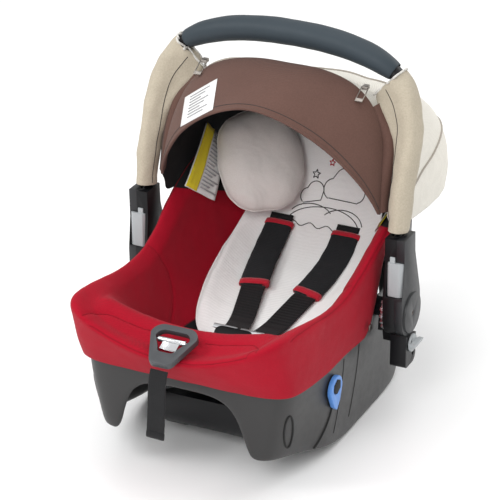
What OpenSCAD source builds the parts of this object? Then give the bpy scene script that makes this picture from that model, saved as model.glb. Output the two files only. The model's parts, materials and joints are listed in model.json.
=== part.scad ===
// Infant car seat: rocker shell, foam liner, padded cover, newborn inserts, harness,
// swinging carry handle with squeeze buttons, pushchair adaptors and a zip-on canopy.
// +Y points to the head end, -Y to the foot end, +Z up. Z = 0 is the floor.

/* [Bucket] */
// Half width of the rim over the cover
rim_half_w = 170; // [155:1:172]
// Distance from the origin to the foot end of the rim
foot_y = 301; // [280:1:325]
// Distance from the origin to the head end of the rim
head_y = 290; // [275:1:300]
// Extra height of the whole seat bowl above the floor
bowl_lift = 0; // [-8:1:30]
// Wall of the moulded shell
shell_wall = 3.5; // [2.5:0.5:5]
// Thickness of the foam liner
liner_t = 9; // [8:1:18]
// Thickness of the padded cover inside the bowl
cover_t = 8; // [5:1:10]

/* [Base] */
// Inset of the base wall from the rim, under the cover hem
base_inset = 9; // [9:1:20]
// Inward lean of the base wall from hem to floor
base_draft = 3; // [1:1:20]
// Wall of the base moulding
base_wall = 5; // [3:0.5:7]
// Rise of the foot end of the rockers above the floor
toe_rise = 46; // [20:1:60]
// Inward taper of the front feet from hem to bottom
foot_taper = 26; // [0:1:40]
// Half width of the arch between the front feet
arch_half_w = 88; // [70:1:100]

/* [Handle] */
// Height of the handle pivot
pivot_z = 168; // [155:1:180]
// Distance of the handle pivot from the origin, towards the head
pivot_y = 39; // [30:1:48]
// Height of the grip centre
grip_z = 535; // [510:1:560]
// Gap from the rim of the bowl to the arm centres
arm_gap = 27; // [26:0.5:32]
// Radius of the handle hub
hub_r = 35; // [32:1:38]
// Radius of the pivot axle
axle_r = 8; // [6:0.5:10]
// Travel of the release buttons
button_travel = 5; // [3:0.5:6]

/* [Harness] */
// Width of the shoulder and crotch webbing
strap_w = 36; // [25:1:40]
// Width of the adjuster pull strap
pull_w = 26; // [20:1:30]
// Spacing of the two shoulder strap slots from the centre
slot_x = 51; // [45:1:60]

/* [Hidden] */
arm_x = rim_half_w + arm_gap;
base_half_w = rim_half_w - base_inset;

fit = 0.4;            // running gap between moving faces
ring_n = 64;          // points round every bowl ring
wide_w = 6;           // extra half width of the rim at the hubs

// ---------- helpers ----------

// Value of a table at x, on a smooth curve through its points
function slope(t, i) = let(a = max(i - 1, 0), b = min(i + 1, len(t) - 1))
    (t[b][1] - t[a][1]) / (t[b][0] - t[a][0]);
function hermite(t, i, x) = let(h = t[i + 1][0] - t[i][0], u = (x - t[i][0]) / h)
    t[i][1] * (2 * u ^ 3 - 3 * u ^ 2 + 1) + t[i + 1][1] * (3 * u ^ 2 - 2 * u ^ 3)
    + h * (slope(t, i) * (u ^ 3 - 2 * u ^ 2 + u) + slope(t, i + 1) * (u ^ 3 - u ^ 2));
function span(t, x, i = 0) = (i >= len(t) - 2 || x < t[i + 1][0]) ? i : span(t, x, i + 1);
function smooth(t, x) = let(c = min(max(x, t[0][0]), t[len(t) - 1][0])) hermite(t, span(t, c), c);
function ease(u) = let(c = min(max(u, 0), 1)) c * c * (3 - 2 * c);
function mix(a, b, u) = a + (b - a) * u;
function unit(v) = v / max(norm(v), 1e-9);
function cpow(v, e) = sign(v) * abs(v) ^ e;

// Closed solid through a list of rings with the same number of points; ends are closed by fans
module skin(rings) {
    n = len(rings[0]);
    m = len(rings);
    mid = [for (r = [rings[0], rings[m - 1]]) [for (k = [0:2]) [for (p = r) p[k]] * [for (p = r) 1] / n]];
    pts = [for (r = rings) each r, mid[0], mid[1]];
    sides = [for (i = [0:m - 2], j = [0:n - 1]) let(a = i * n + j, b = i * n + (j + 1) % n)
        each [[a, b, b + n], [a, b + n, a + n]]];
    first = [for (j = [0:n - 1]) [m * n, (j + 1) % n, j]];
    last = [for (j = [0:n - 1]) [m * n + 1, (m - 1) * n + j, (m - 1) * n + (j + 1) % n]];
    polyhedron(pts, [for (f = concat(sides, first, last)) [f[2], f[1], f[0]]], convexity = 8);
}

// Closed solid through rings that return to the first one, such as a band
module band(rings) {
    n = len(rings[0]);
    m = len(rings);
    polyhedron([for (r = rings) each r], [for (i = [0:m - 1], j = [0:n - 1])
        let(a = i * n + j, b = i * n + (j + 1) % n, c = ((i + 1) % m) * n + (j + 1) % n,
            d = ((i + 1) % m) * n + j) each [[c, b, a], [d, c, a]]], convexity = 8);
}

// Direction of a path, and an oval section across it
function frame_x(path, i) = let(p = path[max(i - 1, 0)], q = path[min(i + 1, len(path) - 1)]) unit(q - p);
function oval(c, u, v, a, b, n, e = 1) = [for (k = [0:n - 1]) let(t = 360 * k / n)
    c + u * a * cpow(cos(t), e) + v * b * cpow(sin(t), e)];
// Flat webbing of a width and thickness along points in the Y-Z plane or in space
module webbing(path, side, w, t) {
    skin([for (i = [0:len(path) - 1]) let(d = frame_x(path, i), v = unit(cross(d, side)), u = cross(v, d))
        [for (k = [[-1, -1], [1, -1], [1, 1], [-1, 1]]) path[i] + u * k[0] * w / 2 + v * k[1] * t / 2]]);
}

module both_sides() {
    children();
    mirror([1, 0, 0]) children();
}
module on_side(s) {
    if (s > 0) children();
    else mirror([1, 0, 0]) children();
}
// A plate in the Y-Z plane from x0 to x1, from a 2D outline in (y, z)
module side_plate(x0, x1) {
    translate([x0, 0, 0]) rotate([90, 0, 90]) linear_extrude(x1 - x0) children();
}
module x_cylinder(x0, x1, r, y, z, fn = 48) {
    translate([x0, y, z]) rotate([0, 90, 0]) cylinder(h = x1 - x0, r = r, $fn = fn);
}
function arc(c, r, a0, a1, n = 12) = [for (i = [0:n]) let(a = mix(a0, a1, i / n)) c + r * [cos(a), sin(a)]];

// ---------- the bowl ----------

// Rim height along the seat, and the height of the seat surface along its middle
RIM = [[-315, 251], [-240, 245], [-190, 236], [-135, 227], [-80, 223], [-45, 228], [0, 248],
    [45, 270], [125, 300], [215, 314], [315, 320]];
FLOOR = [[-301, 196], [-270, 218], [-245, 236], [-228, 238], [-211, 214], [-190, 168], [-165, 130], [-140, 105],
    [-110, 95], [-75, 91], [-25, 97], [25, 109], [75, 121], [145, 133], [205, 141],
    [240, 151], [265, 168], [285, 190]];
foot_square = 14;     // squareness of the foot end in plan
head_square = 4;    // squareness of the head end in plan
centre_dip = 52;      // how far the rim dips at the middle of the foot end
bowl_mid_y = 45;      // where the foot and head halves meet

function half_w(y) = rim_half_w - 3 + wide_w * ease((y + 45) / 110);
// Plan point of the rim, moved inwards by d, at angle t
function box_round(t, q) = [cos(t), sin(t)] / (abs(cos(t)) ^ q + abs(sin(t)) ^ q) ^ (1 / q);
function plan(t, d, tuck = 0) = let(u = box_round(t, sin(t) < 0 ? foot_square : head_square),
    y = bowl_mid_y + u[1] * ((u[1] < 0 ? foot_y + bowl_mid_y : head_y - bowl_mid_y) - d - (u[1] < 0 ? tuck : 0)))
    [(half_w(y) - d) * u[0], y];
// The curves along the bowl are drawn for these two ends, and stretch with the real ones
drawn_foot_y = 301;
drawn_head_y = 290;
function along(y) = y < 0 ? y * drawn_foot_y / foot_y : y * drawn_head_y / head_y;
function rim_z(p) = bowl_lift + smooth(RIM, along(p[1]))
    - centre_dip * ease((-p[1] - foot_y + 70) / 60) * (1 - min(1, abs(p[0]) / 152) ^ 2);
function floor_z(y) = bowl_lift + smooth(FLOOR, along(y));
// Ring of a bowl surface: s runs from 0 at the middle to 1 at the rim; d insets it and drop lowers it
function bowl_ring(d, s, drop, tuck = 0) = [for (i = [0:ring_n - 1]) let(t = 360 * i / ring_n,
    w = plan(t, d, tuck), x = w[0] * s, y = mix(bowl_mid_y, w[1], s),
    under = tuck > 0 ? foot_pad * ease((-w[1] - foot_y + 100) / 60) : 0)
    [x, y, mix(floor_z(y) - drop, rim_z(w) - under, s ^ 4)]];
// Height of the cover's face at a point, found from its place between middle and rim
function place(x, y, a) = let(q = y < bowl_mid_y ? foot_square : head_square,
    b = (y < bowl_mid_y ? foot_y + bowl_mid_y : head_y - bowl_mid_y) - face_in)
    ((abs(x) / (a - face_in)) ^ q + (abs(y - bowl_mid_y) / b) ^ q) ^ (1 / q);
function seat_z(x, y) = let(s0 = max(0.05, place(x, y, half_w(y))),
    s1 = min(1, place(x, y, half_w(bowl_mid_y + (y - bowl_mid_y) / s0))),
    e = [x, bowl_mid_y + (y - bowl_mid_y) / max(s1, 0.05)]) mix(floor_z(y), rim_z([x / s1, e[1]]), s1 ^ 4);
foot_tuck = 28;       // how far the shell's foot end stays behind the padded lip
foot_pad = 26;        // how far below the lip the shell's foot end stays
LEVELS = [0.08, 0.3, 0.48, 0.62, 0.72, 0.79, 0.85, 0.9, 0.94, 0.97, 0.985];

// Insets of the layers at the rim, from the cover's ridge inwards
shell_out = 6;
shell_in = shell_out + shell_wall;
liner_out = shell_in + 2.2;
liner_in = liner_out + liner_t / 2;
back_in = liner_in + 2.2;
face_in = back_in + cover_t / 2;
// Depths of the layers below the cover's face
liner_drop = cover_t + 5;
shell_drop = liner_drop + liner_t + 5;

module shell() color([0.24, 0.25, 0.26]) {
    outer = [for (s = LEVELS) bowl_ring(shell_out, s, shell_drop + shell_wall, foot_tuck)];
    inner = [for (i = [len(LEVELS) - 1:-1:0]) bowl_ring(shell_in, LEVELS[i], shell_drop, foot_tuck)];
    difference() {
        skin(concat(outer, inner));
        // the bosses of the handle pivots pass through the side walls
        for (x = [-rim_half_w - 10, rim_half_w - 40]) x_cylinder(x, x + 50, housing_boss_r, pivot_y, pivot_z);
    }
}

module foam_liner() color([0.93, 0.93, 0.91]) {
    top = len(LEVELS) - 5;
    outer = [for (i = [0:top]) bowl_ring(liner_out, LEVELS[i], liner_drop + liner_t, foot_tuck)];
    inner = [for (i = [top:-1:0]) bowl_ring(liner_in, LEVELS[i], liner_drop, foot_tuck)];
    skin(concat(outer, inner));
}

// Height of the cover's hem; it rises over the pivot housings
hem_z = 140;
hem_band = 18;        // height of the cover's edge behind the hubs, where the hem runs along the rim
function hem_height(p) = mix(bowl_lift + hem_z + 14 * ease((-p[1] - 135) / 120) - 8 * ease((p[1] + 105) / 150),
    rim_z(p) - hem_band, ease((p[1] - pivot_y + 25) / 8));
function side_ring(d, u, lip) = [for (i = [0:ring_n - 1]) let(t = 360 * i / ring_n, w = plan(t, d),
    f = 36 * ease((-w[1] - foot_y + 60) / 50) * (1 - u)) [w[0], w[1] + f, mix(hem_height(w), rim_z(w), u) + lip]];
module seat_cover() color([0.74, 0.05, 0.11]) {
    inside = shell_out - 0.8;
    skin(concat(
        [for (s = LEVELS) bowl_ring(back_in, s, cover_t, foot_tuck)],
        [side_ring(inside, 1, 0)],
        [for (u = [0.8, 0.4, 0]) side_ring(inside, u, 0)],
        [for (u = [0, 0.4, 0.8]) side_ring(4 - 4 * sin(u * 180), u, 0)],
        [side_ring(0, 1, 3), side_ring(9, 1, 8)],
        [for (i = [len(LEVELS) - 1:-1:0]) bowl_ring(face_in, LEVELS[i], 0)]));
}

// ---------- the base ----------

BASE_BOTTOM = [[-315, toe_rise * 1.2], [-225, toe_rise], [-175, toe_rise * 0.74], [-120, toe_rise * 0.33],
    [-75, toe_rise * 0.1], [-40, 0], [130, 0], [175, 8], [225, 34], [275, 82]];
base_foot_y = 257;    // front face of the feet
base_head_y = 274;    // rear of the base at its top
rear_lean = 62;       // how far the rear slopes in from its top to the floor
arch_top_z = 138;     // height of the arch between the feet
base_top_z = 180;     // top of the base wall under the cover
rear_top_z = 236;     // top of the base wall behind the hubs
flat_from = -28;      // start of the flat on the rockers
flat_to = 128;        // end of the flat on the rockers

function base_plan(t, d, z) = let(low = min(1, max(0, (150 - z) / 150))) let(u = box_round(t, sin(t) < 0 ? 12 : 4), lean = base_draft * low,
    l = u[1] < 0 ? base_foot_y + bowl_mid_y - lean * 3 : base_head_y - bowl_mid_y - rear_lean * (1 - z / rear_top_z))
    let(y = bowl_mid_y + (l - d) * u[1], taper = foot_taper * low * ease((-y - 110) / 120))
    [(base_half_w - d - lean - taper) * u[0], y];
function arch(x) = abs(x) >= arch_half_w + 4 ? 0 :
    arch_top_z * max(0, 1 - (abs(x) / (arch_half_w + 4)) ^ 4) ^ 0.5;
function base_bottom(p) = max(
    (p[1] > flat_from && p[1] < flat_to) ? 0 : max(0, smooth(BASE_BOTTOM, p[1])),
    p[1] < -105 ? arch(p[0]) : 0, p[1] > 165 ? 160 * max(0, 1 - (abs(p[0]) / 105) ^ 6) : 0);
function base_top(p) = bowl_lift + mix(base_top_z, rear_top_z, ease((p[1] - 70) / 55));
function base_ring(d, u) = [for (i = [0:95]) let(t = 360 * (i + 0.5) / 96,
    zb = base_bottom(base_plan(t, 0, 0)), zt = max(base_top(base_plan(t, 0, rear_top_z)), zb + 6), z = mix(zt, zb, u),
    w = base_plan(t, d, z)) [w[0], w[1], z]];
module rocker_base() color([0.30, 0.31, 0.32]) {
    levels = [0, 0.35, 0.7, 1];
    difference() {
        band(concat([for (u = levels) base_ring(base_wall, u)], [for (i = [3:-1:0]) base_ring(0, levels[i])]));
        for (x = [-rim_half_w - 10, rim_half_w - 40]) x_cylinder(x, x + 50, housing_boss_r, pivot_y, pivot_z);
    }
}

pan_x = 74;           // half width of the belly pan
pan_y0 = -181;        // front of the belly pan
pan_y1 = 133;         // rear of the belly pan
pan_z0 = 12;          // underside of the belly pan
bar_r = 5;            // radius of the latch bars
bar_y = [-135, 91];   // places of the latch bars
bar_z = 30;           // height of the latch bars
pan_top = [[pan_y0, 84], [-135, 66], [-75, 57], [-25, 60], [pan_y1, 90]];
module belly_pan() color([0.16, 0.17, 0.18]) {
    difference() {
        side_plate(-pan_x, pan_x) polygon(concat([for (p = pan_top) p + [0, bowl_lift]],
            arc([pan_y1 - 30, pan_z0 + 30], 30, 0, -90, 8), arc([pan_y0 + 60, pan_z0 + 60], 60, -90, -180, 8)));
        // windows that let the hooks of a vehicle base reach the bars
        for (y = bar_y) translate([-46, y - 26, -1]) cube([92, 52, 48]);
        for (y = bar_y) x_cylinder(-pan_x - 1, pan_x + 1, bar_r, y, bar_z, 32);
    }
}
module latch_bars() color([0.72, 0.73, 0.75])
    for (y = bar_y) x_cylinder(-pan_x, pan_x, bar_r, y, bar_z, 32);

// ---------- newborn inserts ----------

// A pad that lies on the seat surface: rows along Y, each a flat oval slice
function seat_point(x, y, lift) = [x, y, seat_z(x, y) + lift];
module lying_pad(rows, thick) {
    skin([for (r = rows) let(n = 14) concat(
        [for (k = [n:-1:0]) let(x = r[1] * (2 * k / n - 1)) seat_point(x, r[0], 3)],
        [for (k = [0:n]) let(x = r[1] * (2 * k / n - 1) * 0.985)
            seat_point(x, r[0], 5 + thick * (1 - abs(x / r[1]) ^ 6))])]);
}
module body_pad() color([0.95, 0.95, 0.94]) lying_pad([[-57, 50], [-52, 76], [-35, 95], [5, 106], [55, 112],
    [105, 114], [155, 112], [195, 108], [225, 100], [245, 92], [262, 80], [266, 60]], 11);
// The head pillow stands against the side wall and the head end
pillow_at = [-84, 186, 287];        // its middle
pillow_size = [61, 72, 24];         // half width, half height, half thickness
pillow_turn = [58, 0, 40];          // how it leans and turns
module head_pillow() color([0.80, 0.78, 0.75]) translate(pillow_at + [0, 0, bowl_lift]) rotate([0, 0, pillow_turn[2]])
    rotate([pillow_turn[0], 0, 0]) skin([for (k = [0:9]) let(a = mix(-84, 84, k / 9), r = cos(a) ^ 0.6)
        [for (j = [0:19]) let(t = 18 * j, u = box_round(t, 2.6)) [pillow_size[0] * r * u[0], pillow_size[1] * r * u[1],
            pillow_size[2] * sin(a)]]]);

// ---------- harness ----------

buckle_y = -104 * foot_y / drawn_foot_y; // place of the buckle
buckle_z = 132;       // height of the buckle's middle
strap_t = 2;          // thickness of the webbing
pad_w = strap_w + 8;  // width of the shoulder pads
strap_lift = 23.5;     // height of the straps over the seat surface
function strap_x(y) = mix(2 + strap_w / 2, slot_x + 3, ease((y - buckle_y - 30) / 230));
function strap_point(y) = [strap_x(y), y, seat_z(strap_x(y) + pad_w / 2, y) + strap_lift + 10 * ease((-y + 5) / 70)];
module shoulder_strap(s) color([0.06, 0.06, 0.07]) on_side(s) for (part = [[buckle_y + 36, pad_y0 - 1, 8], [pad_y1 + 1, strap_top_y, 3]])
    webbing([for (k = [0:part[2]]) strap_point(mix(part[0], part[1], k / part[2]))], [1, 0, 0], strap_w, strap_t);
strap_top_y = 192;    // where the shoulder straps enter the back
pad_y0 = 60;          // lower end of the shoulder pads
pad_y1 = 184;         // upper end of the shoulder pads
module shoulder_pad(s) color([0.10, 0.10, 0.11]) on_side(s)
    webbing([for (k = [0:8]) strap_point(mix(pad_y0, pad_y1, k / 8))], [1, 0, 0], pad_w, 9);
module shoulder_strap_left() shoulder_strap(-1);
module shoulder_strap_right() shoulder_strap(1);
module shoulder_pad_left() shoulder_pad(-1);
module shoulder_pad_right() shoulder_pad(1);

buckle_tilt = 28;     // slope of the buckle
buckle_w = 58;        // width of the buckle
buckle_h = 54;        // height of the buckle
buckle_t = 20;        // thickness of the buckle
button_w = 30;        // width of the red button
module buckle_frame() translate([0, buckle_y, buckle_z + bowl_lift]) rotate([buckle_tilt, 0, 0]) children();
module buckle_body() color([0.09, 0.09, 0.10]) buckle_frame() difference() {
    translate([0, 0, -buckle_t / 2]) linear_extrude(buckle_t) polygon(concat(
        arc([buckle_w / 2 - 10, buckle_h / 2 - 10], 10, 0, 90, 6), arc([10 - buckle_w / 2, buckle_h / 2 - 10], 10, 90, 180, 6),
        arc([14 - buckle_w / 2 + 4, 14 - buckle_h / 2], 14, 180, 270, 6), arc([buckle_w / 2 - 18, 14 - buckle_h / 2], 14, 270, 360, 6)));
    translate([-button_w / 2 - fit, -20, 2]) cube([button_w + 2 * fit, 24, buckle_t]);
    for (x = [-17, 17]) translate([x - 9, 12, -3]) cube([18, 40, 4.4]);
}
module buckle_button() color([0.78, 0.06, 0.08]) buckle_frame()
    translate([-button_w / 2, -20 + fit, 5.5]) cube([button_w, 24 - 2 * fit, 7]);
module buckle_tongues() color([0.75, 0.76, 0.78]) buckle_frame() both_sides() {
    translate([9, 13, -2.6]) cube([16, 16, 2.6]);
    translate([3, buckle_h / 2 + 1, -2.6]) cube([strap_w, 7, 2.6]);
}
module crotch_strap() color([0.06, 0.06, 0.07]) webbing([for (k = [0:4]) let(u = k / 4)
    [0, buckle_y - 27.5 - 4 * u, mix(buckle_z + bowl_lift - 14, seat_z(strap_w / 2, buckle_y - 31.5) + 7, u)]],
    [1, 0, 0], strap_w, strap_t);

// ---------- harness adjuster at the foot end ----------

adj_y = 17 - foot_y;  // middle of the adjuster bezel
adj_z = 214;          // height of the bezel's middle
adj_tilt = 24;        // slope of the foot end's top face
module adj_frame() translate([0, adj_y, adj_z + bowl_lift]) rotate([adj_tilt, 0, 0]) children();
module adjuster_bezel() color([0.28, 0.29, 0.30]) adj_frame() difference() {
    linear_extrude(9) polygon(concat(arc([17, 14], 17, 0, 90, 8), arc([-17, 14], 17, 90, 180, 8),
        arc([-9, -26], 9, 200, 270, 5), arc([9, -26], 9, 270, 340, 5)));
    translate([0, 0, -1]) linear_extrude(12) polygon(concat(arc([13, 10], 12, 0, 90, 8), arc([-13, 10], 12, 90, 180, 8),
        arc([-7, -8], 7, 180, 270, 5), arc([7, -8], 7, 270, 360, 5)));
    for (s = [-1, 1]) translate([s * 25 - 3, 8, 4.5]) rotate([0, 90, 0]) cylinder(h = 6, r = 1.55, $fn = 24);
}
module adjuster_pin() color([0.70, 0.71, 0.73]) adj_frame()
    translate([-27.9, 8, 4.5]) rotate([0, 90, 0]) cylinder(h = 55.8, r = 1.5, $fn = 24);
module adjuster_lever() color([0.78, 0.79, 0.80]) adj_frame() difference() {
    union() {
        translate([-20, 8, 4.5]) rotate([0, 90, 0]) cylinder(h = 40, r = 4, $fn = 32);
        translate([-12, -8, 3]) cube([24, 16, 3]);
    }
    translate([-24, 8, 4.5]) rotate([0, 90, 0]) cylinder(h = 48, r = 1.56, $fn = 24);
}
// The pull strap leaves the bezel and hangs straight down in front of the arch
PULL = [[-309, 200], [-317, 196], [-322, 184], [-326, 164], [-330, 136], [-333, 98]];
module adjuster_strap() color([0.06, 0.06, 0.07])
    webbing([for (p = PULL) [0, p[0] - foot_y + drawn_foot_y, p[1] + bowl_lift]], [1, 0, 0], pull_w, strap_t);

// ---------- belt guides ----------

guide_y = -112;       // middle of the lap belt guides
guide_z = 104;        // their height
guide_x = base_half_w - base_draft * (150 - guide_z - 26) / 150 + 0.4;
module belt_guide(s) color([0.20, 0.42, 0.80]) on_side(s) difference() {
    side_plate(guide_x + 0.3, guide_x + 7) polygon(concat(arc([guide_y, guide_z + 4], 19, -10, 190, 14),
        [[guide_y - 8, guide_z - 22], [guide_y + 2, guide_z - 30], [guide_y + 12, guide_z - 18]]));
    x_cylinder(guide_x, guide_x + 9, 9.5, guide_y - 1, guide_z + 6, 32);
}
module belt_guide_left() belt_guide(-1);
module belt_guide_right() belt_guide(1);

// ---------- pivots and handle ----------

housing_r = 19;                     // radius of the fixed pivot housing
housing_boss_r = 14;                // boss that goes into the shell wall
housing_x0 = rim_half_w + 3;        // inner face of the housing plate
hub_x0 = arm_x - 11.5;              // inner face of the handle hub
hub_x1 = arm_x + 21;                // outer face of the handle hub
disc_t = 5;                         // thickness of the toothed lock disc
boss_x0 = rim_half_w - 26;          // inner end of the boss inside the bowl's wall
module pivot_housing(s) color([0.13, 0.13, 0.14]) on_side(s) difference() {
    union() {
        x_cylinder(housing_x0, hub_x0 - disc_t - 1.2, housing_r, pivot_y, pivot_z, 64);
        x_cylinder(boss_x0, housing_x0, housing_boss_r - 0.3, pivot_y, pivot_z, 48);
        side_plate(housing_x0, hub_x0 - disc_t - 1.2) polygon([[pivot_y - 17, pivot_z], [pivot_y + 17, pivot_z],
            [bracket_y + 18, bracket_z1 + 0.5], [bracket_y - 18, bracket_z1 + 0.5]]);
    }
    x_cylinder(boss_x0 - 1, hub_x1, axle_r, pivot_y, pivot_z);
}
module lock_disc(s) color([0.55, 0.56, 0.58]) on_side(s) difference() {
    union() {
        x_cylinder(hub_x0 - disc_t - 1.2, hub_x0 - 1.2, 27, pivot_y, pivot_z, 64);
        for (k = [0:17]) translate([hub_x0 - disc_t - 1.2, pivot_y, pivot_z]) rotate([k * 20, 0, 0])
            translate([0, 26, -2]) cube([disc_t, 5, 4]);
    }
    x_cylinder(150, 230, axle_r, pivot_y, pivot_z);
}
module pivot_axle(s) color([0.70, 0.71, 0.73]) on_side(s) {
    x_cylinder(boss_x0 + 2, hub_x1 - 4, axle_r, pivot_y, pivot_z);
}
module pivot_housing_left() pivot_housing(-1);
module pivot_housing_right() pivot_housing(1);
module lock_disc_left() lock_disc(-1);
module lock_disc_right() lock_disc(1);
module pivot_axle_left() pivot_axle(-1);
module pivot_axle_right() pivot_axle(1);

neck_y = 27;          // arm centre where it meets the sleeve, in Y
neck_z = 290;         // and in Z
neck_r = 20;          // half depth of the arm there
button_z0 = 203;      // lower edge of the release button
button_z1 = 255;      // upper edge of the release button
button_face = 5;      // front face of the button, in Y
button_back = 24;     // back of the button's pocket
// Outline of the hub and lower arm in (y, z): round hub, flowing into the neck
hub_outline = concat(arc([pivot_y, pivot_z], hub_r, -176, 6, 24),
    [[pivot_y + hub_r - 3, pivot_z + 24], [pivot_y + hub_r - 12, pivot_z + 52], [neck_y + 22, pivot_z + 92]],
    [[neck_y + neck_r, neck_z], [neck_y - neck_r, neck_z], [neck_y - 18, pivot_z + 80], [pivot_y - hub_r - 1, pivot_z + 30]]);
// The pocket for the button opens at the front of the arm
button_x0 = arm_x - 7;
button_x1 = arm_x + 17;
module button_pocket() {
    translate([button_x0 - fit, -20, button_z0 - fit])
        cube([button_x1 - button_x0 + 2 * fit, button_back + 20, button_z1 - button_z0 + 2 * fit]);
    translate([button_x0 + 3 - fit, -20, button_z1 - 1]) cube([8 + 2 * fit, button_back + 20, 9 + fit]);
}
split_x = arm_x + 6;  // plane between the inner arm and its outer cover
module handle_arm(s) color([0.12, 0.13, 0.14]) on_side(s) difference() {
    side_plate(hub_x0, split_x - 0.1) polygon(hub_outline);
    x_cylinder(hub_x0 - 1, split_x + 1, axle_r + 0.06, pivot_y, pivot_z);
    button_pocket();
    tube_plug(1, 0.3);
}
module hub_cover(s) color([0.33, 0.34, 0.35]) on_side(s) difference() {
    union() {
        side_plate(split_x, hub_x1 - 3) polygon(hub_outline);
        // domed outer face
        x_cylinder(hub_x1 - 3.01, hub_x1, hub_r - 5, pivot_y, pivot_z, 64);
    }
    x_cylinder(split_x - 1, hub_x1 - 3.6, axle_r + 0.06, pivot_y, pivot_z);
    x_cylinder(hub_x1 - 3.5, hub_x1 + 1, 4.2, pivot_y, pivot_z, 32);
    button_pocket();
    tube_plug(1, 0.3);
}
module handle_arm_left() handle_arm(-1);
module handle_arm_right() handle_arm(1);
module hub_cover_left() hub_cover(-1);
module hub_cover_right() hub_cover(1);
module hub_screws() color([0.15, 0.15, 0.16]) both_sides() difference() {
    x_cylinder(hub_x1 - 3.4, hub_x1 - 0.6, 4.1, pivot_y, pivot_z, 32);
    translate([hub_x1 - 1.8, pivot_y, pivot_z]) rotate([0, 90, 0]) cylinder(h = 3, r = 2, $fn = 6);
}
// Button: a cap with rounded front edges, pressed towards the head end
module release_button(s) color([0.66, 0.68, 0.69]) on_side(s) {
    translate([0, 0, button_z0]) linear_extrude(button_z1 - button_z0) polygon(concat(
        [[button_x0, button_back - button_travel - 1], [button_x0, button_face + 3], [button_x0 + 3, button_face]],
        arc([button_x1 - 8, button_face + 8], 8, -90, 0, 6), [[button_x1, button_back - button_travel - 1]]));
    translate([button_x0 + 3, button_face + 2, button_z1 - 0.01]) cube([8, 10, 8]);
}
module release_button_left() release_button(-1);
module release_button_right() release_button(1);
// Coil spring behind the button, drawn as its sleeve of turns
spring_r = 4.5;
module button_spring(s) color([0.75, 0.76, 0.78]) on_side(s) translate([arm_x + 1, button_back - 0.4, mix(button_z0, button_z1, 0.5)])
    rotate([90, 0, 0]) difference() {
        cylinder(h = button_travel + 0.2, r = spring_r, $fn = 32);
        translate([0, 0, -1]) cylinder(h = button_travel + 3, r = spring_r - 1.2, $fn = 32);
    }
module button_spring_left() button_spring(-1);
module button_spring_right() button_spring(1);

// Centre line of one handle half, from the neck to the middle of the grip
grip_y = 95;          // grip centre in Y
ARM = [[0, neck_y, neck_z + 3.5], [0, neck_y + 4, 322], [1, neck_y + 16, 362], [2, neck_y + 31, 400], [0, neck_y + 46, 432],
    [-6, neck_y + 57, 459], [-18, neck_y + 65, 482], [-37, neck_y + 67, 501]];
GRIP = [[-58, 94, -22], [-90, grip_y, -11], [-125, grip_y, -4], [-162, grip_y, -0.5]];
function arm_path() = [for (p = ARM) [arm_x + p[0], p[1], p[2]]];
function grip_half() = [for (p = GRIP) [arm_x + p[0], p[1], grip_z + p[2]]];
function flip(p) = [-p[0], p[1], p[2]];
tube_a = 11;          // half sizes of the arm tube
tube_b = 15;
plug_z = 22;          // depth of the tube's ends in the arms
plug_scale = 0.72;    // size of the tube's ends in the arms against the tube
function mirrored(half) = concat(half, [[0, grip_y, grip_z]], [for (i = [len(half) - 1:-1:0]) flip(half[i])]);
grip_path = mirrored(concat([arm_path()[7]], grip_half()));
tube_path = mirrored(concat(arm_path(), grip_half()));
// Oval across a path, square to the plane of the handle
function handle_ring(path, i, a, b) = let(t = frame_x(path, i), n = [0, 0.96, -0.27], v = unit(n - t * (n * t)),
    u = cross(v, t)) oval(path[i], u, v, a, b, 16);
module tube_plug(s, extra) on_side(s) translate([arm_x, neck_y, neck_z - plug_z - extra])
    linear_extrude(plug_z + 2 + extra) polygon([for (k = [0:15]) let(t = 22.5 * k)
        [(tube_a * plug_scale + extra) * cos(t), (tube_b * plug_scale + extra) * sin(t)]]);
module handle_crossbar() color([0.14, 0.15, 0.16]) {
    skin([for (i = [0:len(tube_path) - 1]) handle_ring(tube_path, i, tube_a, tube_b)]);
    for (s = [-1, 1]) tube_plug(s, 0);
}
// The soft grip is thicker at the middle than at its ends
module handle_grip() color([0.17, 0.19, 0.20]) {
    last = len(grip_path) - 1;
    band(concat(
        [for (i = [0:last]) let(m = 1 - (2 * i / last - 1) ^ 4) handle_ring(grip_path, i, 14 + 5 * m, 18 + 6 * m)],
        [for (i = [last:-1:0]) handle_ring(grip_path, i, tube_a + 0.5, tube_b + 0.5)]));
}

// ---------- fabric on the handle ----------

sleeve_a = 14.5;      // half sizes of the fabric sleeve over the arm
sleeve_b = 20;
// How far the fabric reaches inwards from the arm to the zip line, from the lower end to the top
FLAP = [0, 2, 5, 10, 21, 32, 37, 33];
function sleeve_ring(i, a, b, flap) = let(path = arm_path(), t = frame_x(path, i), v = unit(cross(t, [1, 0, 0])),
    u = cross(v, t), c = path[i] + t * (i == 0 ? 0.5 : (i == 7 ? -5.5 : 0)))
    [for (k = [0:13]) let(w = 360 * k / 14, x = cos(w)) c + u * (x < 0 ? a + flap : a) * x
        + v * b * sin(w) * (x < -0.3 ? 1 - 0.5 * min(1, flap / 20) : 1)];
module arm_sleeve(s) color([0.78, 0.74, 0.66]) on_side(s) band(concat(
    [for (i = [0:7]) sleeve_ring(i, sleeve_a, sleeve_b, FLAP[i])],
    [for (i = [7:-1:0]) sleeve_ring(i, tube_a + 0.8, tube_b + 0.8, 0)]));
module arm_sleeve_left() arm_sleeve(-1);
module arm_sleeve_right() arm_sleeve(1);

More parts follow.
